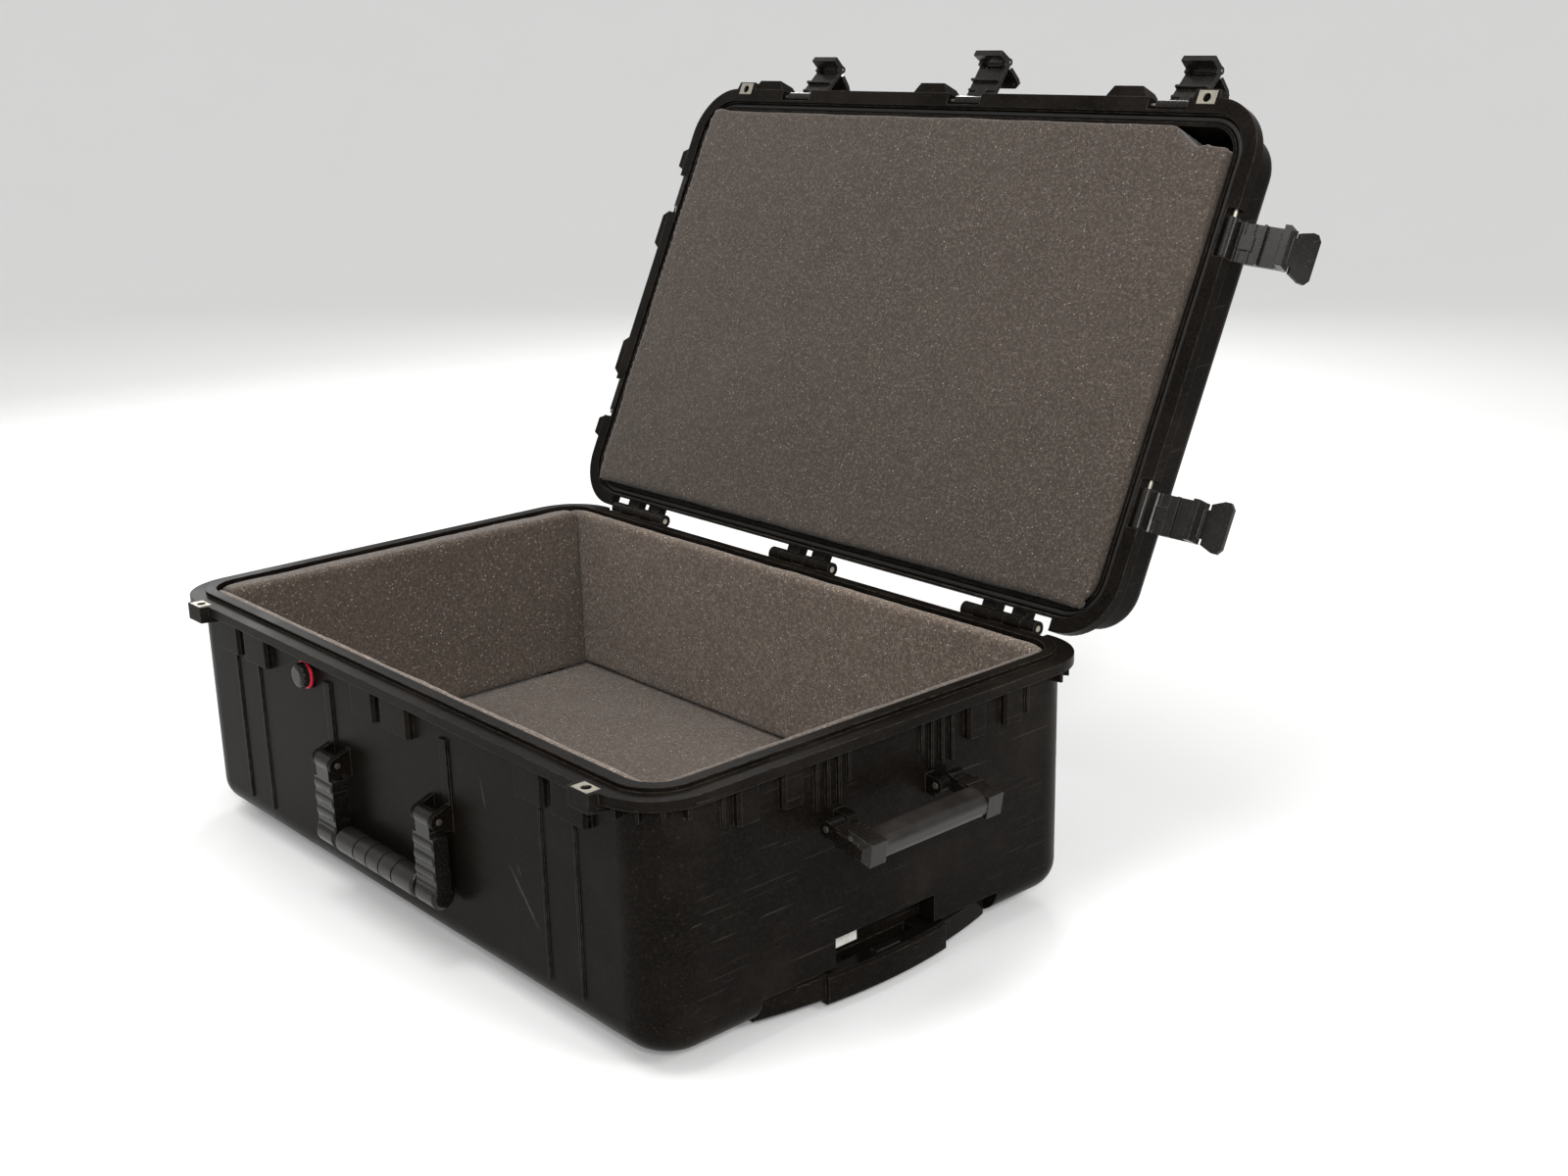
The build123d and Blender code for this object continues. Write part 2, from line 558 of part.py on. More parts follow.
def make_floor_foam():
    foam = slab(-foam_gap, floor_z + foam_gap, floor_foam_z)
    foam = fillet(foam.edges().group_by(Axis.Z)[0], 17)
    end = opening_x + 1
    foam -= block(housing_end - 8, end, -housing_half - 8, housing_half + 8, 20, housing_top + 8)
    foam -= block(grip_back - 11, end, -grip_half - 11, grip_half + 11, 20, grip_top + 10)
    foam -= block(recess_x - 6, end, -recess_half - 8, recess_half + 8, 20, 60)
    for drum in wells(wheel_radius + well_gap + well_wall + 1.5, wheel_width / 2 + 10):
        foam -= drum
    return foam


def wall_foams():
    """The four wall pads, standing on the floor pad and following the opening's corners."""
    low = floor_foam_z + foam_gap
    lining = slab(-foam_gap, low, foam_top_z)
    x, y = opening_x, opening_y
    front = lining & block(-x, x, -y, -y + side_foam, low, foam_top_z)
    front -= rod((valve_x, -y - 5, valve_z), (valve_x, -y + 8, valve_z), 14)
    inner_y = y - side_foam - foam_gap
    right = lining & block(x - right_foam, x, -inner_y, inner_y, low, foam_top_z)
    right -= block(recess_x - 5, x + 1, -recess_half - 6, recess_half + 6, low - 1, recess_top + 7)
    return {
        "front_wall_foam": front,
        "back_wall_foam": lining & block(-x, x, y - side_foam, y, low, foam_top_z),
        "right_wall_foam": right,
        "left_wall_foam": lining & block(-x, -x + left_foam, -inner_y, inner_y, low, foam_top_z),
    }


def wheel(y):
    """A tyre and its hub."""
    half, rim = wheel_width / 2, 15.0
    tyre = rod((wheel_x, y - half, wheel_z), (wheel_x, y + half, wheel_z), wheel_radius)
    tyre = fillet(tyre.edges().filter_by(GeomType.CIRCLE), 4)
    core = rod((wheel_x, y - half, wheel_z), (wheel_x, y + half, wheel_z), rim)
    hub = core
    for side in (-1, 1):
        start, end = y + side * half, y + side * (half - 5)
        dish = rod((wheel_x, start, wheel_z), (wheel_x, end, wheel_z), 12.5)
        hub -= dish - rod((wheel_x, start, wheel_z), (wheel_x, end, wheel_z), 6)
    return tyre - core, hub - rod((wheel_x, y - 20, wheel_z), (wheel_x, y + 20, wheel_z), axle_radius + 0.06)


def valve_ring(y0, y1, outer, inner):
    ring = rod((valve_x, y0, valve_z), (valve_x, y1, valve_z), outer)
    return ring - rod((valve_x, y0 - 1, valve_z), (valve_x, y1 + 1, valve_z), inner)


def make_valve_body():
    face = -wall_y
    body = rod((valve_x, face - 3, valve_z), (valve_x, face, valve_z), 14)
    body += rod((valve_x, face, valve_z), (valve_x, -opening_y + 6, valve_z), valve_bore)
    return body + rod((valve_x, face - 9, valve_z), (valve_x, face - 3, valve_z), 4)


def make_valve_knob():
    face = -wall_y
    knob = rod((valve_x, face - 13, valve_z), (valve_x, face - 5.2, valve_z), 12)
    knob = fillet(knob.edges().filter_by(GeomType.CIRCLE).sort_by(Axis.Y)[0], 5)
    for angle in range(0, 360, 30):
        x, z = valve_x + 12.6 * cos(radians(angle)), valve_z + 12.6 * sin(radians(angle))
        knob -= rod((x, face - 14, z), (x, face - 4, z), 1.6)
    return knob - rod((valve_x, face - 9.3, valve_z), (valve_x, face - 3, valve_z), 4.06)


def make_valve_nut():
    hexagon = extrude(RegularPolygon(12, 6), 5)
    nut = Pos(valve_x, -opening_y, valve_z) * Rot(-90, 0, 0) * hexagon
    return nut - rod((valve_x, -opening_y - 1, valve_z), (valve_x, -opening_y + 7, valve_z), valve_bore)


def make_screws():
    screws = []
    for x, y in screw_places:
        head = rod((x, y, underside_z), (x, y, underside_z + 2), 4)
        screws.append(head + rod((x, y, underside_z + 2), (x, y, 28), screw_radius))
    return screws


def make_cover():
    """The plate screwed on under the tubes, which carries its share of the skids."""
    half = housing_half - 0.4
    cover = block(housing_end + 0.4, grip_back - 3.4, -half, half, underside_z, underside_z + 3)
    for x, y in screw_places:
        cover -= rod((x, y, underside_z - 1), (x, y, underside_z + 2), 4)
        cover -= rod((x, y, underside_z - 1), (x, y, underside_z + 4), screw_radius)
    for x0, x1 in skids:
        if x1 > housing_end:
            skid = block(max(x0, housing_end + 1), x1, -housing_half + 1, housing_half - 1, 0, underside_z)
            cover += chamfer(skid.edges().group_by(Axis.Z)[0], 3)
    for x, y in screw_places:
        cover -= rod((x, y, -1), (x, y, underside_z + 2), 4)
    return cover


nodes = {
    "base_shell": make_base_shell(),
    "lid_shell": opened(make_lid_shell()),
    "lid_gasket": opened(make_lid_gasket()),
    "lid_foam": opened(make_lid_foam()),
    "hinge_pins": [
        rod((x - 44.8, hinge_y, hinge_z), (x + 44.8, hinge_y, hinge_z), hinge_pin_radius)
        for x in hinge_centres
    ],
    "latch_hinge_pins": [opened(pin) for pin in make_latch_pins()],
    "lid_padlock_plates": [
        opened(plate - hole)
        for plate, hole in zip(padlock_plate(lid_low_z, lid_low_z + 1.5), padlock_holes())
    ],
    "base_padlock_plates": [
        plate - hole
        for plate, hole in zip(padlock_plate(ledge_z - 1.5, ledge_z), padlock_holes())
    ],
    "handle_pins": [rod(start, end, handle_pin_radius) for start, end in handle_pin_places()],
    "floor_foam": make_floor_foam(),
    "valve_body": make_valve_body(),
    "valve_seal": valve_ring(-wall_y - 4.9, -wall_y - 3, 13.2, 9),
    "valve_knob": make_valve_knob(),
    "valve_nut": make_valve_nut(),
    "pull_handle_outer_tubes": tube_pair(-90, 340, 0, tube_wall),
    "pull_handle_inner_tubes": tube_pair(-85, tube_end, tube_wall + 0.4, 1.5),
    "pull_handle_grip": make_pull_grip(),
    "release_button": make_release_button(),
    "button_spring": make_button_spring(),
    "pull_handle_cover": make_cover(),
    "cover_screws": make_screws(),
    "name_plate": block(recess_x, recess_x + 1.2, -48, -17, 41, 53),
    "wheel_axles": wells(axle_radius, wheel_width / 2 + 7.5),
}
nodes.update(wall_foams())
nodes["front_handle"], nodes["front_handle_grip"] = front_handle()
for side_name in ("right", "left"):
    nodes[f"{side_name}_handle"], nodes[f"{side_name}_handle_grip"] = end_handle(side_name)
for wheel_name, y_place in (("front", -wheel_y), ("rear", wheel_y)):
    nodes[f"{wheel_name}_wheel_tyre"], nodes[f"{wheel_name}_wheel_hub"] = wheel(y_place)
for latch_name in latches:
    nodes.update(latch_nodes(latch_name))

# The steel plates are let into the padlock bosses, so the shells give way to them
for plate in nodes["base_padlock_plates"]:
    nodes["base_shell"] -= plate
for plate in nodes["lid_padlock_plates"]:
    nodes["lid_shell"] -= plate
# The cover carries its own stretches of the skids, so the base's skids stop at its edges
for x_from, x_to in skids:
    low_x = max(x_from - 1, housing_end)
    if x_to > housing_end:
        nodes["base_shell"] -= block(low_x, x_to + 1, -housing_half, housing_half, -1, underside_z)

os.makedirs("parts", exist_ok=True)
for name, shape in nodes.items():
    if isinstance(shape, list):
        shape = Compound(children=[Solid(piece.solids()[0].wrapped) for piece in shape])
    export_step(shape, f"parts/{name}.step")
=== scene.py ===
import json
import math

import bmesh
import bpy
from mathutils import Matrix, Vector, noise


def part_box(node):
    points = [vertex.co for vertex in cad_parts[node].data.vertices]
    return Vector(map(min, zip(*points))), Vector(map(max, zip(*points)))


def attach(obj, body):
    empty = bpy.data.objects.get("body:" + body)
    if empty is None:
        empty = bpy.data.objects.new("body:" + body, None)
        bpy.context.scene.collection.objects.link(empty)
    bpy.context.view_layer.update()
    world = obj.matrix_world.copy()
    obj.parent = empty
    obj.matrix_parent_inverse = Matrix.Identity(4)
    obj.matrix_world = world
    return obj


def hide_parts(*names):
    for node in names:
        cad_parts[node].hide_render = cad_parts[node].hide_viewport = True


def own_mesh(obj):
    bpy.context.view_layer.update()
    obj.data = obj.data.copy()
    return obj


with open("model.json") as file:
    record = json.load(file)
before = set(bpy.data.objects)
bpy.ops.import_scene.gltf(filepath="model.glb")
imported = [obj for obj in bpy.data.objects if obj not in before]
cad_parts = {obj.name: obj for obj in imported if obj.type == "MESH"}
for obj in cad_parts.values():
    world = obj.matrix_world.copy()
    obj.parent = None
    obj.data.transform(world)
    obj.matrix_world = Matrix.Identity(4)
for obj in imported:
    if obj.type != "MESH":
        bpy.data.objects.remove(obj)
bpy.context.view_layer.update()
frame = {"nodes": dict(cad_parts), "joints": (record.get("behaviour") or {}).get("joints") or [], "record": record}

# Wheeled hard equipment case with its lid open. Metres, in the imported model's frame.
MM = 0.001
scene = bpy.context.scene


def joint(name):
    """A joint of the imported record, by name."""
    return next(j for j in frame["joints"] if j["name"] == name)


# Driving values, worked out from the frame
hinge = Vector(joint("lid_hinge")["pos_m"])
lid_open = math.radians(-joint("lid_hinge")["range_deg"][0])
lid_turn = Matrix.Rotation(-lid_open, 3, "X")  # from the closed lid's directions to the open lid's
VALVE_PROUD = 9 * MM  # how far the valve stands out of the front wall
WALL_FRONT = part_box("valve_body")[0].y + VALVE_PROUD  # the front wall's outer face


def lid_place(point):
    """Carries a point of the closed lid to the open lid."""
    return hinge + lid_turn @ (Vector(point) - hinge)


# ---------------------------------------------------------------- materials
def add_node(tree, kind, links=None, **values):
    """Adds a shader node, sets its properties and inputs, and links its inputs."""
    made = tree.nodes.new("ShaderNode" + kind)
    for key, value in values.items():
        if key in made.bl_rna.properties:
            setattr(made, key, value)
        else:
            made.inputs[key.replace("_", " ")].default_value = value
    for socket, source in (links or {}).items():
        tree.links.new(source, made.inputs[socket])
    return made


def start_material(name):
    """An empty material: its node tree, its object coordinates and its surface shader."""
    material = bpy.data.materials.new(name)
    material.use_nodes = True
    tree = material.node_tree
    tree.nodes.clear()
    place = add_node(tree, "TexCoord").outputs["Object"]
    shader = add_node(tree, "BsdfPrincipled")
    add_node(tree, "OutputMaterial", {"Surface": shader.outputs["BSDF"]})
    return material, tree, place, shader


def scaled(colour, factor):
    """A colour made darker or lighter."""
    return tuple(factor * part for part in colour)


STREAK_TURN = (0.5, 0.35, 0.6)  # radians: stretched noise runs askew to the walls


def noise_field(tree, place, scale, detail=2.0, stretch=None, roughness=0.5):
    """A noise texture's value, its coordinates stretched if asked."""
    if stretch:
        mapping = add_node(tree, "Mapping", {"Vector": place}, Scale=stretch, Rotation=STREAK_TURN)
        place = mapping.outputs["Vector"]
    field = add_node(tree, "TexNoise", {"Vector": place}, Scale=scale, Detail=detail, Roughness=roughness)
    return field.outputs["Fac"]


def span(tree, value, low, high, to_low=0.0, to_high=1.0):
    """Maps a value's range to another, clamped."""
    limits = {"From_Min": low, "From_Max": high, "To_Min": to_low, "To_Max": to_high}
    return add_node(tree, "MapRange", {"Value": value}, **limits).outputs["Result"]


def maths(tree, operation, a, b):
    """One step of arithmetic on sockets or numbers."""
    made = add_node(tree, "Math", operation=operation)
    for socket, value in zip(made.inputs, (a, b)):
        if isinstance(value, (int, float)):
            socket.default_value = value
        else:
            tree.links.new(value, socket)
    return made.outputs["Value"]


MIX_COLOURS, MIX_RESULT = (6, 7), 2  # a Mix node's colour sockets, which share their names with others


def mix_colour(tree, factor, a, b):
    """Mixes two colours, each a socket or three numbers."""
    made = add_node(tree, "Mix", {"Factor": factor}, data_type="RGBA")
    for index, value in zip(MIX_COLOURS, (a, b)):
        if isinstance(value, tuple):
            made.inputs[index].default_value = (*value, 1)
        else:
            tree.links.new(value, made.inputs[index])
    return made.outputs[MIX_RESULT]


def bevelled(tree, radius):
    """The surface's normal with its edges rounded off, `radius` in millimetres."""
    return add_node(tree, "Bevel", samples=4, Radius=radius * MM).outputs["Normal"]


def bumps(tree, layers, normal=None):
    """Stacks bump layers: (height socket, depth in metres, strength)."""
    for height, depth, strength in layers:
        links = {"Height": height}
        if normal is not None:
            links["Normal"] = normal
        normal = add_node(tree, "Bump", links, Distance=depth, Strength=strength).outputs["Normal"]
    return normal


def streak_mask(tree, place, start, end, width):
    """A soft-edged streak on the front wall's outer face, from one (x, z) point to another."""
    along = Vector((end[0] - start[0], 0, end[1] - start[1]))
    across = Vector((along.z, 0, -along.x)).normalized()
    offset = add_node(tree, "VectorMath", {0: place}, operation="SUBTRACT")
    offset.inputs[1].default_value = (start[0], 0, start[1])
    parts = []
    for direction in (along / along.length_squared, across):
        dot = add_node(tree, "VectorMath", {0: offset.outputs["Vector"]}, operation="DOT_PRODUCT")
        dot.inputs[1].default_value = direction
        parts.append(dot.outputs["Value"])
    from_middle = maths(tree, "ABSOLUTE", maths(tree, "SUBTRACT", parts[0], 0.5), 0)
    aside = maths(tree, "ABSOLUTE", parts[1], 0)
    depth = add_node(tree, "SeparateXYZ", {"Vector": place}).outputs["Y"]
    on_wall = maths(tree, "LESS_THAN", depth, WALL_FRONT + 2 * MM)
    fade_ends, fade_sides = span(tree, from_middle, 0.5, 0.2), span(tree, aside, width, width * 0.2)
    shape = maths(tree, "MULTIPLY", fade_ends, fade_sides)
    return maths(tree, "MULTIPLY", shape, on_wall)


# What time leaves on black plastic, and the painted highlight on its edges
DUST, SCRATCHED, SCUFFED, RUBBED_AND_HIGHLIT = (
    (0.036, 0.029, 0.023),
    (0.050, 0.045, 0.040),
    (0.055, 0.049, 0.043),
    (0.095, 0.082, 0.070),
)


def moulded_plastic(name, colour, rough, grain_depth=0.06, edge=1.4, gloss=0.2, streaks=()):
    """Moulded black plastic: spark-eroded grain, dull patches, dust, hairline scratches, and edges lightened
    partly by rub wear and partly by a painted highlight.
    """
    material, tree, place, shader = start_material(name)
    rounded = bevelled(tree, edge)
    flat = add_node(tree, "NewGeometry").outputs["Normal"]
    turned = add_node(tree, "VectorMath", {0: rounded, 1: flat}, operation="DOT_PRODUCT").outputs["Value"]
    patches = noise_field(tree, place, 14, 6, roughness=0.62)
    mottle = noise_field(tree, place, 160, 3)
    speckle = noise_field(tree, place, 420, 2)
    hairlines = noise_field(tree, place, 9, 2, stretch=(90, 1.3, 60))

    patch, dust = span(tree, patches, 0.35, 0.68), span(tree, patches, 0.50, 0.78, 0, 0.13)
    scratch = span(tree, hairlines, 0.66, 0.70, 0, 0.35)
    # Rounded edges are lightened: partly rub wear, partly a painted highlight where light catches them
    edges, rub = span(tree, turned, 0.985, 0.80), span(tree, mottle, 0.35, 0.7, 0.1, 0.75)
    worn_and_highlit_edge = maths(tree, "MULTIPLY", edges, rub)
    shown = mix_colour(tree, patch, scaled(colour, 0.7), scaled(colour, 1.4))
    shown = mix_colour(tree, span(tree, speckle, 0.45, 0.72, 0, 0.4), shown, scaled(colour, 3.2))
    shown = mix_colour(tree, dust, shown, DUST)
    shown = mix_colour(tree, scratch, shown, SCRATCHED)
    for start, end, width in streaks:
        streak = streak_mask(tree, place, start, end, width)
        broken = maths(tree, "MULTIPLY", streak, span(tree, mottle, 0.3, 0.6, 0.2, 0.8))
        shown = mix_colour(tree, broken, shown, SCUFFED)
    # Painted highlight and rub wear on the rounded edges
    shown = mix_colour(tree, worn_and_highlit_edge, shown, RUBBED_AND_HIGHLIT)
    tree.links.new(shown, shader.inputs["Base Color"])

    uneven = span(tree, patches, 0.3, 0.7, rough - 0.05, rough + 0.08)
    dulled = maths(tree, "ADD", uneven, maths(tree, "MULTIPLY", scratch, 0.25))
    tree.links.new(dulled, shader.inputs["Roughness"])
    shader.inputs["Specular IOR Level"].default_value = gloss
    layers = [
        (noise_field(tree, place, 1300.0, 2), grain_depth * MM, 0.5),
        (noise_field(tree, place, 55, 2), 0.25 * MM, 0.25),
    ]
    tree.links.new(bumps(tree, layers, rounded), shader.inputs["Normal"])
    return material


def rubber(name, colour, rough, grain=900.0, depth=0.05, coat=0.0):
    """Soft rubber with faint rub marks."""
    material, tree, place, shader = start_material(name)
    rubbed = noise_field(tree, place, 45, 5)
    shown = mix_colour(tree, span(tree, rubbed, 0.4, 0.75), colour, scaled(colour, 1.8))
    tree.links.new(shown, shader.inputs["Base Color"])
    tree.links.new(span(tree, rubbed, 0.3, 0.7, rough - 0.05, rough + 0.12), shader.inputs["Roughness"])
    shader.inputs["Specular IOR Level"].default_value = 0.25
    shader.inputs["Coat Weight"].default_value = coat
    shader.inputs["Coat Roughness"].default_value = 0.22
    layers = [(noise_field(tree, place, grain, 2), depth * MM, 0.4)]
    tree.links.new(bumps(tree, layers, bevelled(tree, 0.8)), shader.inputs["Normal"])
    return material


def specks(tree, place, scale, radius, share):
    """Scattered dots: their mask, and two random values for each dot."""
    cells = add_node(tree, "TexVoronoi", {"Vector": place}, Scale=scale, feature="F1")
    near = span(tree, cells.outputs["Distance"], radius * scale, radius * scale * 0.5)
    random = add_node(tree, "SeparateColor", {"Color": cells.outputs["Color"]})
    chosen = span(tree, random.outputs["Red"], 1 - share, 1.0)
    return maths(tree, "MULTIPLY", near, chosen), random.outputs["Green"], random.outputs["Blue"]


FOAM_COLOURS = {
    "dark": (0.088, 0.066, 0.050),
    "pale": (0.132, 0.100, 0.077),
    "painted_pore_shade": (0.038, 0.029, 0.023),
    "painted_glint": (0.235, 0.186, 0.148),
    "sandy painted sparkle": (0.66, 0.52, 0.38),
    "green painted sparkle": (0.46, 0.56, 0.48),
    "pink painted sparkle": (0.66, 0.50, 0.66),
}
FOAM_SPARKLES = (  # cells per metre, radius in metres, share of cells with a speck, strength
    (430.0, 0.0007, 0.6, 0.7),
    (210.0, 0.00095, 0.6, 1.0),
)


def foam_material(name, lighting_tone):
    """Open-cell foam: painted shade in its fine pores, uneven colour, painted glints on its cell walls and a
    painted sparkle of bright dots. The tone it is given scales its colours, painting the pad lighter or darker for
    how light falls on it.
    """
    material, tree, place, shader = start_material(name)
    shade = {part: scaled(colour, lighting_tone) for part, colour in FOAM_COLOURS.items()}
    cells = add_node(tree, "TexVoronoi", {"Vector": place}, Scale=620.0, feature="F1")
    fine = noise_field(tree, place, 1500, 3)
    blotch = noise_field(tree, place, 6, 4)
    mottle = noise_field(tree, place, 330, 3, roughness=0.7)
    # Painted shade: darker towards the cell edges, as if shade falls into the pores
    painted_pore_shade = span(tree, cells.outputs["Distance"], 0.15, 0.75, 0.0, 0.55)
    shown = mix_colour(tree, span(tree, blotch, 0.3, 0.7, 0.25, 0.75), shade["dark"], shade["pale"])
    shown = mix_colour(tree, painted_pore_shade, shown, shade["painted_pore_shade"])
    # Painted glint: lighter patches where light would catch the cell walls
    shown = mix_colour(tree, span(tree, mottle, 0.46, 0.68, 0, 0.65), shown, shade["painted_glint"])
    # Painted sparkle: bright sandy, green and pink dots standing in for light glinting off single cells
    for scale, radius, share, strength in FOAM_SPARKLES:
        mask, warm, cool = specks(tree, place, scale, radius, share)
        cold_sparkle = mix_colour(tree, cool, shade["green painted sparkle"], shade["pink painted sparkle"])
        sparkle = mix_colour(tree, warm, shade["sandy painted sparkle"], cold_sparkle)
        shown = mix_colour(tree, maths(tree, "MULTIPLY", mask, strength), shown, sparkle)
    tree.links.new(shown, shader.inputs["Base Color"])
    for socket, value in (("Roughness", 0.95), ("Specular IOR Level", 0.2),
                          ("Sheen Weight", 0.15), ("Sheen Roughness", 0.5)):
        shader.inputs[socket].default_value = value
    layers = [
        (cells.outputs["Distance"], 0.5 * MM, 0.6),
        (fine, 0.3 * MM, 0.5),
    ]
    tree.links.new(bumps(tree, layers), shader.inputs["Normal"])
    return material


def metal(name, colour, rough, stretch=(30, 900, 900)):
    """Bare metal with a drawn grain and dull spots."""
    material, tree, place, shader = start_material(name)
    spots = noise_field(tree, place, 120, 4)
    grain = noise_field(tree, place, 1.5, 3, stretch=stretch)
    shown = mix_colour(tree, span(tree, spots, 0.45, 0.8, 0, 0.6), colour, scaled(colour, 0.45))
    tree.links.new(shown, shader.inputs["Base Color"])
    tree.links.new(span(tree, spots, 0.3, 0.7, rough - 0.06, rough + 0.14), shader.inputs["Roughness"])
    shader.inputs["Metallic"].default_value = 1.0
    tree.links.new(bumps(tree, [(grain, 0.03 * MM, 0.4)], bevelled(tree, 0.4)), shader.inputs["Normal"])
    return material


def label_material():
    """A blank printed plate, a little yellowed and rubbed."""
    material, tree, place, shader = start_material("label")
    stain = noise_field(tree, place, 90, 4)
    clean, dirty = (0.62, 0.62, 0.58), (0.30, 0.29, 0.26)
    shown = mix_colour(tree, span(tree, stain, 0.45, 0.75, 0, 0.7), clean, dirty)
    tree.links.new(shown, shader.inputs["Base Color"])
    tree.links.new(span(tree, stain, 0.3, 0.7, 0.3, 0.5), shader.inputs["Roughness"])
    tree.links.new(bumps(tree, [(noise_field(tree, place, 300, 2), 0.05 * MM, 0.3)]), shader.inputs["Normal"])
    return material


front_streaks = (  # scuffs beside the front handle: one end's (x, z), the other's, half width
    ((0.184, 0.125), (0.225, 0.077), 0.0022),
    ((0.196, 0.128), (0.203, 0.118), 0.0015),
    ((0.150, 0.190), (0.156, 0.160), 0.0012),
)
materials = {
    "case_plastic": moulded_plastic(
        "case_plastic", (0.0046, 0.0037, 0.0029), 0.31, gloss=0.03, streaks=front_streaks),
    "latch_plastic": moulded_plastic(
        "latch_plastic", (0.0060, 0.0050, 0.0042), 0.24, grain_depth=0.03, edge=0.9, gloss=0.22),
    "grip_rubber": rubber("grip_rubber", (0.0095, 0.0080, 0.0070), 0.32, coat=0.1),
    "gasket_rubber": rubber("gasket_rubber", (0.006, 0.0055, 0.005), 0.6),
    "tyre_rubber": rubber("tyre_rubber", (0.010, 0.0095, 0.009), 0.68, grain=500.0, depth=0.15),
    "red_rubber": rubber("red_rubber", (0.42, 0.012, 0.030), 0.4),
    # One foam in four tones: the tones are painted light and shade, lighter where a pad is lit and darker where it
    # sits in shade
    "foam": foam_material("foam", 1.06),
    "side_foam_painted_shade": foam_material("side_foam_painted_shade", 0.64),
    "floor_foam": foam_material("floor_foam", 0.66),
    "lid_foam": foam_material("lid_foam", 0.42),
    "steel": metal("steel", (0.38, 0.35, 0.29), 0.34),
    "aluminium": metal("aluminium", (0.62, 0.62, 0.63), 0.34, stretch=(8, 700, 700)),
    "white_label": label_material(),
}


def dress(piece, look):
    """Gives a piece one of the materials, by name."""
    piece.data.materials.clear()
    piece.data.materials.append(materials[look])


slot_of = {part["node"]: part["material_slot"] for part in frame["record"]["subparts"]}
for name, node in frame["nodes"].items():
    dress(node, slot_of[name])


# ---------------------------------------------------------------- foam pads
PAD_VOXEL = 4.0 * MM
WALL_PAD_PROUD = 7 * MM  # how far the wall pads stand out of the open base, past their solids
pad_low, pad_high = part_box("front_wall_foam")
# Height with the lid closed: the lid pad's free face
PAD_FACE = pad_high.z + 0.5 * MM
PAD_ROUNDING = 30  # millimetres, at the lid pad's corners
PAD_CORNER = Vector((pad_high.x, -pad_low.y)) - Vector((PAD_ROUNDING, PAD_ROUNDING)) * MM
SQUARED_DEPTH = 5 * MM  # how far behind the lid pad's face its corners are cut squarer
SQUARING = 0.75  # from 0, as round as the lid's, to 1, square


def apply_modifiers(piece):
    """Replaces the piece's mesh with what its modifiers make of it."""
    graph = bpy.context.evaluated_depsgraph_get()
    mesh = bpy.data.meshes.new_from_object(piece.evaluated_get(graph))
    piece.modifiers.clear()
    piece.data = mesh


def cut_wave(point):
    """How far the knife strayed from a plain cut at a point, in millimetres, mostly inwards."""
    wave = noise.noise(point * 18) * 0.9 + noise.noise(point * 75) * 0.35
    return wave - 0.7


def squared_corner(point):
    """Squares the corners of the lid's pad where it stands out of the lid."""
    closed = hinge + lid_turn.inverted() @ (point - hinge)
    if closed.z > PAD_FACE + SQUARED_DEPTH:
        return point
    over = Vector((abs(closed.x) - PAD_CORNER.x, abs(closed.y) - PAD_CORNER.y))
    if min(over) <= 0:
        return point
    grow = 1 + SQUARING * (over.length / max(over) - 1)
    closed.x = math.copysign(PAD_CORNER.x + over.x * grow, closed.x)
    closed.y = math.copysign(PAD_CORNER.y + over.y * grow, closed.y)
    return lid_place(closed)


def foam_pad(node, body, shape=None, proud=0.0, smoothing=2, look="foam"):
    """A foam pad cut a little unevenly, made from its plain solid. Its top stands `proud` of the solid's."""
    piece = bpy.data.objects.new(node + "_pad", frame["nodes"][node].data.copy())
    scene.collection.objects.link(piece)
    remesh = piece.modifiers.new("Remesh", "REMESH")
    remesh.mode = "VOXEL"
    remesh.voxel_size = PAD_VOXEL
    smooth = piece.modifiers.new("Smooth", "SMOOTH")
    smooth.factor, smooth.iterations = 0.5, smoothing
    apply_modifiers(piece)
    low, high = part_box(node)
    normals = [vertex.normal.copy() for vertex in piece.data.vertices]
    for vertex, normal in zip(piece.data.vertices, normals):
        point = vertex.co.copy()
        point += normal * cut_wave(point) * MM
        point = Vector([min(max(value, a), b) for value, a, b in zip(point, low, high)])
        if shape:
            point = shape(point)
        point.z += proud * (point.z - low.z) / (high.z - low.z)
        vertex.co = point
    piece.data.shade_smooth()
    dress(piece, look)
    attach(piece, body)
    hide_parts(node)
    return piece


# The pads' looks differ only by painted light and shade
for wall, look in (("front", "foam"), ("back", "foam"), ("left", "side_foam_painted_shade"), ("right", "side_foam_painted_shade")):
    foam_pad(f"{wall}_wall_foam", "base", proud=WALL_PAD_PROUD, look=look)
foam_pad("floor_foam", "base", look="floor_foam")
lid_pad = foam_pad("lid_foam", "lid", squared_corner, smoothing=1, look="lid_foam")
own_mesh(lid_pad)


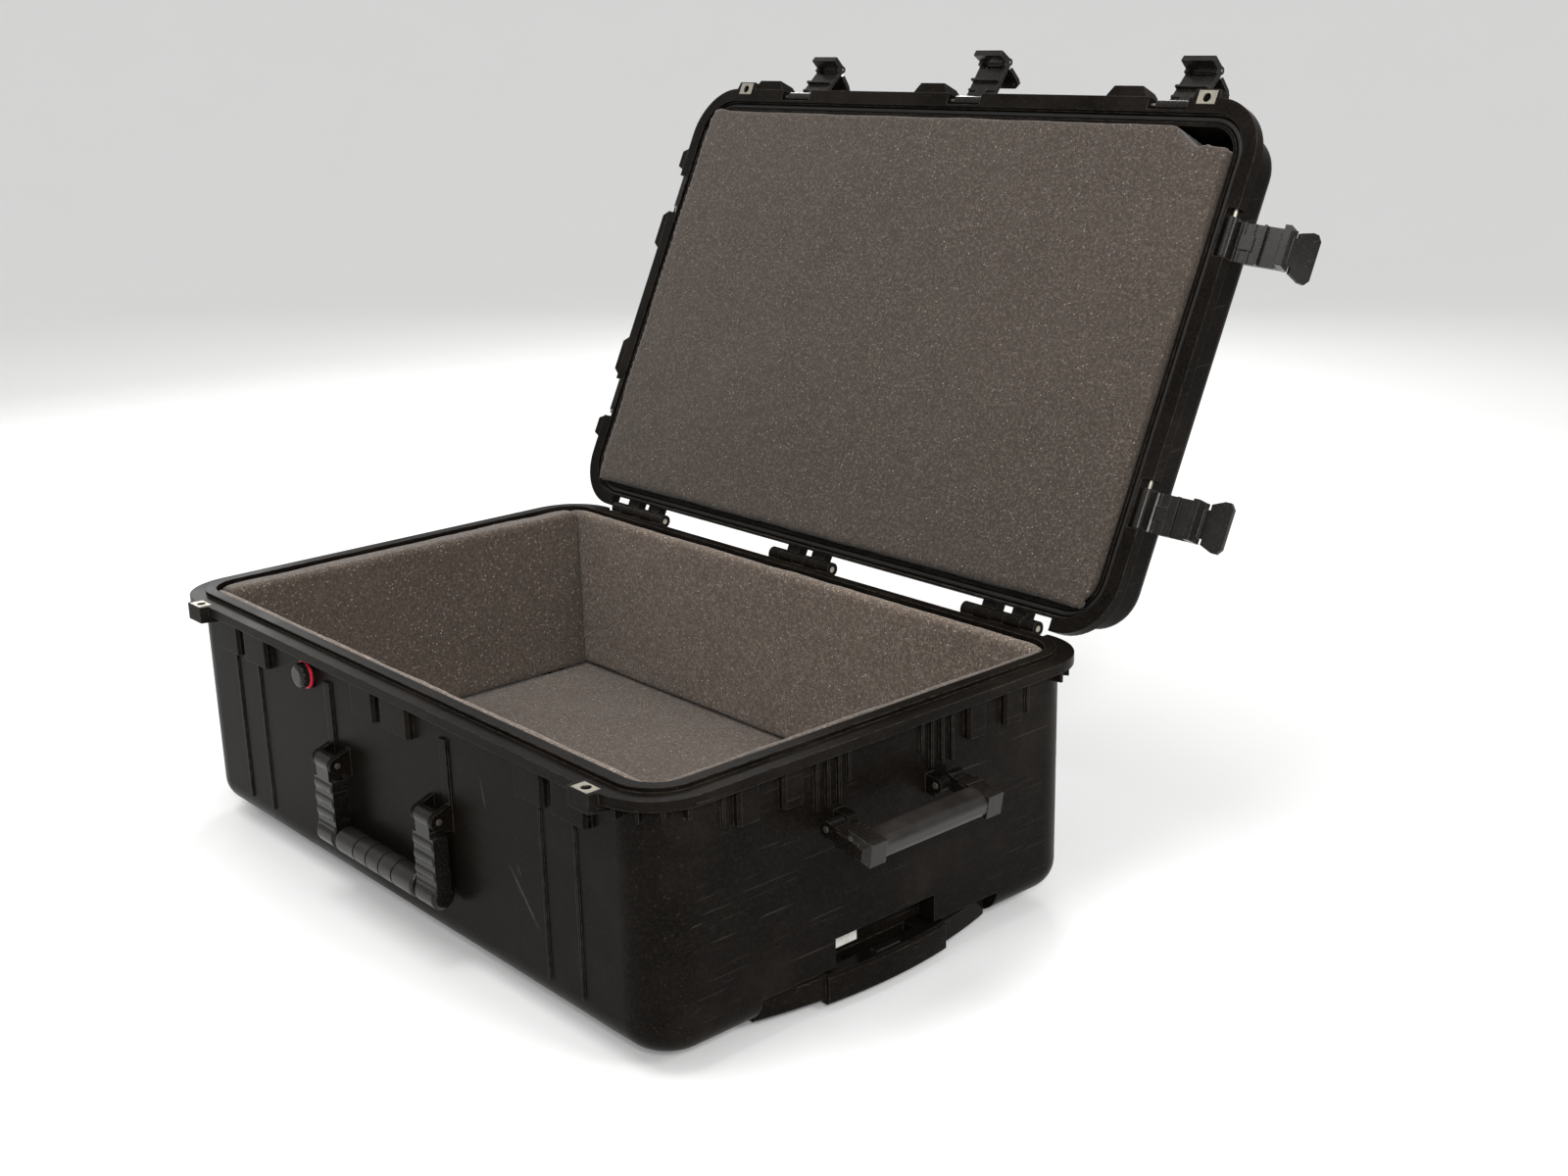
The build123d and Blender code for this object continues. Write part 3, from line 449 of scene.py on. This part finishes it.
# ---------------------------------------------------------------- stage, light and camera
def make_floor():
    """A pale studio floor that the skids stand on, swept up all round into a low wall."""
    sides, steps = 72, 24
    flat, bend_start, bend = 2.0, 4.0, 3.5  # radii: the middle disc, where the bend starts, the bend
    profile = [(flat, 0.0)]
    for i in range(steps + 1):
        angle = math.pi / 2 * i / steps
        profile.append((bend_start + bend * math.sin(angle), bend * (1 - math.cos(angle))))
    mesh = bmesh.new()
    around = [2 * math.pi * k / sides for k in range(sides)]
    rings = []
    for radius, height in profile:
        ring = [(radius * math.cos(turn), radius * math.sin(turn), height) for turn in around]
        rings.append([mesh.verts.new(point) for point in ring])
    mesh.faces.new(rings[0])
    for inner, outer in zip(rings, rings[1:]):
        for k in range(sides):
            following = (k + 1) % sides
            mesh.faces.new((inner[k], outer[k], outer[following], inner[following]))
    data = bpy.data.meshes.new("floor")
    mesh.to_mesh(data)
    mesh.free()
    data.shade_smooth()
    floor = bpy.data.objects.new("floor", data)
    scene.collection.objects.link(floor)
    material, tree, place, shader = start_material("floor")
    shown = mix_colour(tree, noise_field(tree, place, 3, 4), (0.66, 0.66, 0.655), (0.68, 0.68, 0.675))
    tree.links.new(shown, shader.inputs["Base Color"])
    for socket, value in (("Roughness", 0.9), ("Specular IOR Level", 0.1),
                          ("Emission Color", (1, 1, 1, 1)), ("Emission Strength", 0.16)):
        shader.inputs[socket].default_value = value
    floor.data.materials.append(material)


CASE_MIDDLE = (0.0, 0.05, 0.25)
LIGHTS = (  # name, place, width in metres, watts
    ("key", (1.75, -1.20, 1.25), 0.20, 19),
    ("main", (0.1, -1.0, 2.5), 1.2, 30),
    ("side", (2.3, 0.3, 1.5), 0.6, 22),
    ("top", (0.1, 0.0, 2.6), 1.0, 20),
    ("back", (-1.7, 2.1, 1.6), 0.9, 30),
    ("left", (-2.4, 0.4, 1.2), 0.9, 10),
)


def area_light(name, place, width, watts):
    """A square, soft, white light that faces the case."""
    data = bpy.data.lights.new(name, "AREA")
    data.shape, data.size, data.energy = "SQUARE", width, watts
    light = bpy.data.objects.new(name, data)
    light.location = place
    light.rotation_euler = (Vector(CASE_MIDDLE) - Vector(place)).to_track_quat("-Z", "Y").to_euler()
    scene.collection.objects.link(light)


def make_world():
    """Even white light from all round."""
    world = bpy.data.worlds.new("world")
    world.use_nodes = True
    background = world.node_tree.nodes["Background"]
    background.inputs["Color"].default_value = (1, 1, 1, 1)
    background.inputs["Strength"].default_value = 0.66
    scene.world = world


def make_camera():
    """The camera at the photograph's viewing angle: near, and about 17 degrees above the case."""
    place, target = Vector((1.376, -0.978, 0.774)), Vector((0.153, 0.093, 0.277))
    roll = Matrix.Rotation(math.radians(-1.4), 4, "Z")
    data = bpy.data.cameras.new("camera")
    data.lens, data.sensor_width = 42.96, 36.0  # millimetres
    camera = bpy.data.objects.new("camera", data)
    camera.location = place
    aim = (target - place).to_track_quat("-Z", "Y").to_matrix().to_4x4()
    camera.rotation_euler = (aim @ roll).to_euler()
    scene.collection.objects.link(camera)
    scene.camera = camera


make_floor()
make_world()
for name, place, width, watts in LIGHTS:
    area_light(name, place, width, watts)
make_camera()
scene.view_settings.view_transform = "Standard"
